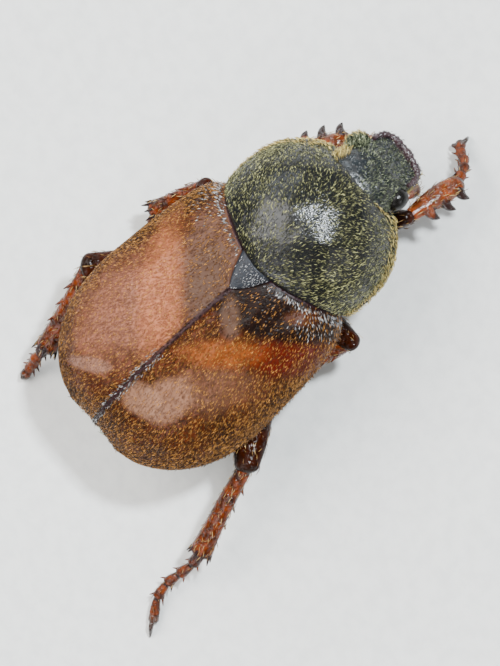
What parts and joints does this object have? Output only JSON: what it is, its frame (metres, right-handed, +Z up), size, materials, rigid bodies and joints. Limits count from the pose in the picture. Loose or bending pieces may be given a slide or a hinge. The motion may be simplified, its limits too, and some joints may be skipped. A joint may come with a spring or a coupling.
{
  "type": "chafer beetle",
  "caption": "Welsh chafer (Hoplia philanthus) standing on six feet, a still life-size model with one hind leg stretched back.",
  "frame": {"origin": "centre of the bounding box's bottom face, which is the floor that the claws rest on", "axes": "+Z up from the floor, +Y towards the beetle's head along its body, +X towards the beetle's right side"},
  "size_m": [0.007, 0.0125, 0.0043],
  "materials": {
    "wing_cover": "reddish-brown glossy horn with short golden-brown scales",
    "shield": "black horn with fine yellow-green hair-scales",
    "head_shell": "black horn with silvery-green hair-scales and a reddish clypeus rim",
    "mouthparts": "dark red-brown glossy horn",
    "eye": "black, finely faceted, glossy",
    "antenna": "red-brown glossy stalk with a darker club",
    "underside": "black horn under silvery-green round scales",
    "tail_plate": "black horn under pale greenish scales",
    "leg_dark": "dark brown glossy horn",
    "femur": "red-brown glossy horn, darker near the body",
    "leg_red": "orange-red glossy horn with blackish teeth and spines",
    "tarsus": "orange-red glossy horn with dark joint ends",
    "claw": "blackish brown, glossy"
  },
  "bodies": {
    "root": {"elytron_left": "wing_cover", "elytron_right": "wing_cover", "scutellum": "shield", "prothorax": "shield", "head": "head_shell", "mouthparts": "mouthparts", "eye_left": "eye", "eye_right": "eye", "antenna_left": "antenna", "antenna_right": "antenna", "thorax": "underside", "abdomen": "underside", "pygidium": "tail_plate", "leg_front_left_coxa": "leg_dark", "leg_front_left_femur": "femur", "leg_front_left_tibia": "leg_red", "leg_front_left_tarsus": "tarsus", "leg_front_left_claws": "claw", "leg_front_right_coxa": "leg_dark", "leg_front_right_femur": "femur", "leg_front_right_tibia": "leg_red", "leg_front_right_tarsus": "tarsus", "leg_front_right_claws": "claw", "leg_middle_left_coxa": "leg_dark", "leg_middle_left_femur": "femur", "leg_middle_left_tibia": "leg_red", "leg_middle_left_tarsus": "tarsus", "leg_middle_left_claws": "claw", "leg_middle_right_coxa": "leg_dark", "leg_middle_right_femur": "femur", "leg_middle_right_tibia": "leg_red", "leg_middle_right_tarsus": "tarsus", "leg_middle_right_claws": "claw", "leg_hind_left_coxa": "leg_dark", "leg_hind_left_femur": "femur", "leg_hind_left_tibia": "leg_red", "leg_hind_left_tarsus": "tarsus", "leg_hind_left_claws": "claw", "leg_hind_right_coxa": "leg_dark", "leg_hind_right_femur": "femur", "leg_hind_right_tibia": "leg_red", "leg_hind_right_tarsus": "tarsus", "leg_hind_right_claws": "claw"}
  },
  "joints": []
}
